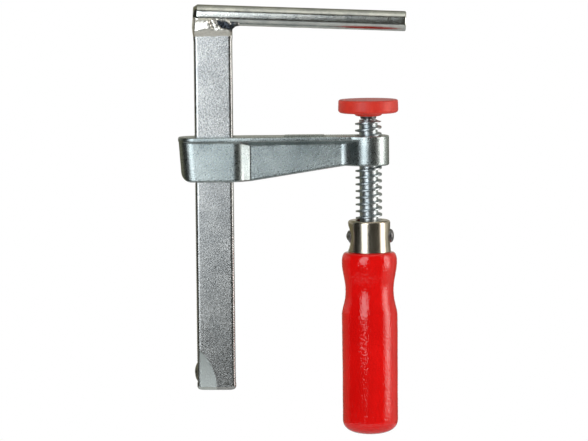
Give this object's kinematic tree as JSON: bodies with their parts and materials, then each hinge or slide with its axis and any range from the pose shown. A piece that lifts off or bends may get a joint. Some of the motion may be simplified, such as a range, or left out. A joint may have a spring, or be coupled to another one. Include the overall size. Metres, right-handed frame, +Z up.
{
  "type": "table clamp",
  "caption": "Screw clamp with a round fixed arm welded to a serrated rail, a sliding arm with a threaded spindle, a swivel pad with a soft cap and a turned wooden handle.",
  "frame": {"origin": "where the spindle's axis meets the round fixed arm's axis", "axes": "+Z up along the spindle and the rail, +X from the rail towards the round arm's tip, +Y away from the viewer of the picture"},
  "size_m": [0.1018, 0.0268, 0.1928],
  "materials": {
    "zinc_rail": "zinc-plated, satin",
    "bright_zinc": "zinc-plated, bright",
    "weld_metal": "zinc-plated weld, rough",
    "zinc_casting": "zinc-plated casting, satin",
    "dark_steel": "plain, dark",
    "red_plastic": "moulded, matt",
    "nickel": "nickel-plated, polished",
    "red_lacquer": "turned, glossy lacquer"
  },
  "bodies": {
    "frame": {"rail": "zinc_rail", "fixed_arm": "bright_zinc", "weld_bead": "weld_metal"},
    "slider": {"sliding_arm": "zinc_casting"},
    "swivel_ring": {"retaining_ring": "dark_steel"},
    "screw": {"spindle": "bright_zinc", "ferrule": "nickel", "cross_pin": "dark_steel", "handle": "red_lacquer"},
    "pad": {"pressure_plate": "dark_steel", "protective_cap": "red_plastic"}
  },
  "joints": [
    {"name": "arm_slide", "type": "slide", "parent": "frame", "child": "slider", "axis": [0, 0, 1], "range_m": [-0.081, 0.0044]},
    {"name": "screw_feed", "type": "slide", "parent": "slider", "child": "swivel_ring", "axis": [0, 0, 1], "range_m": [-0.00665, 0.02405]},
    {"name": "screw_turn", "type": "hinge", "parent": "swivel_ring", "child": "screw", "pos_m": [0, 0, -0.04135], "axis": [0, 0, 1], "range_deg": [-798, 2886]},
    {"name": "pad_tilt", "type": "hinge", "parent": "swivel_ring", "child": "pad", "pos_m": [0, 0, -0.04135], "axis": [0, 1, 0], "range_deg": [-6, 6]}
  ],
  "couplings": [
    {"joint": "screw_feed", "follows": "screw_turn", "m_per_rad": 0.00047746}
  ]
}
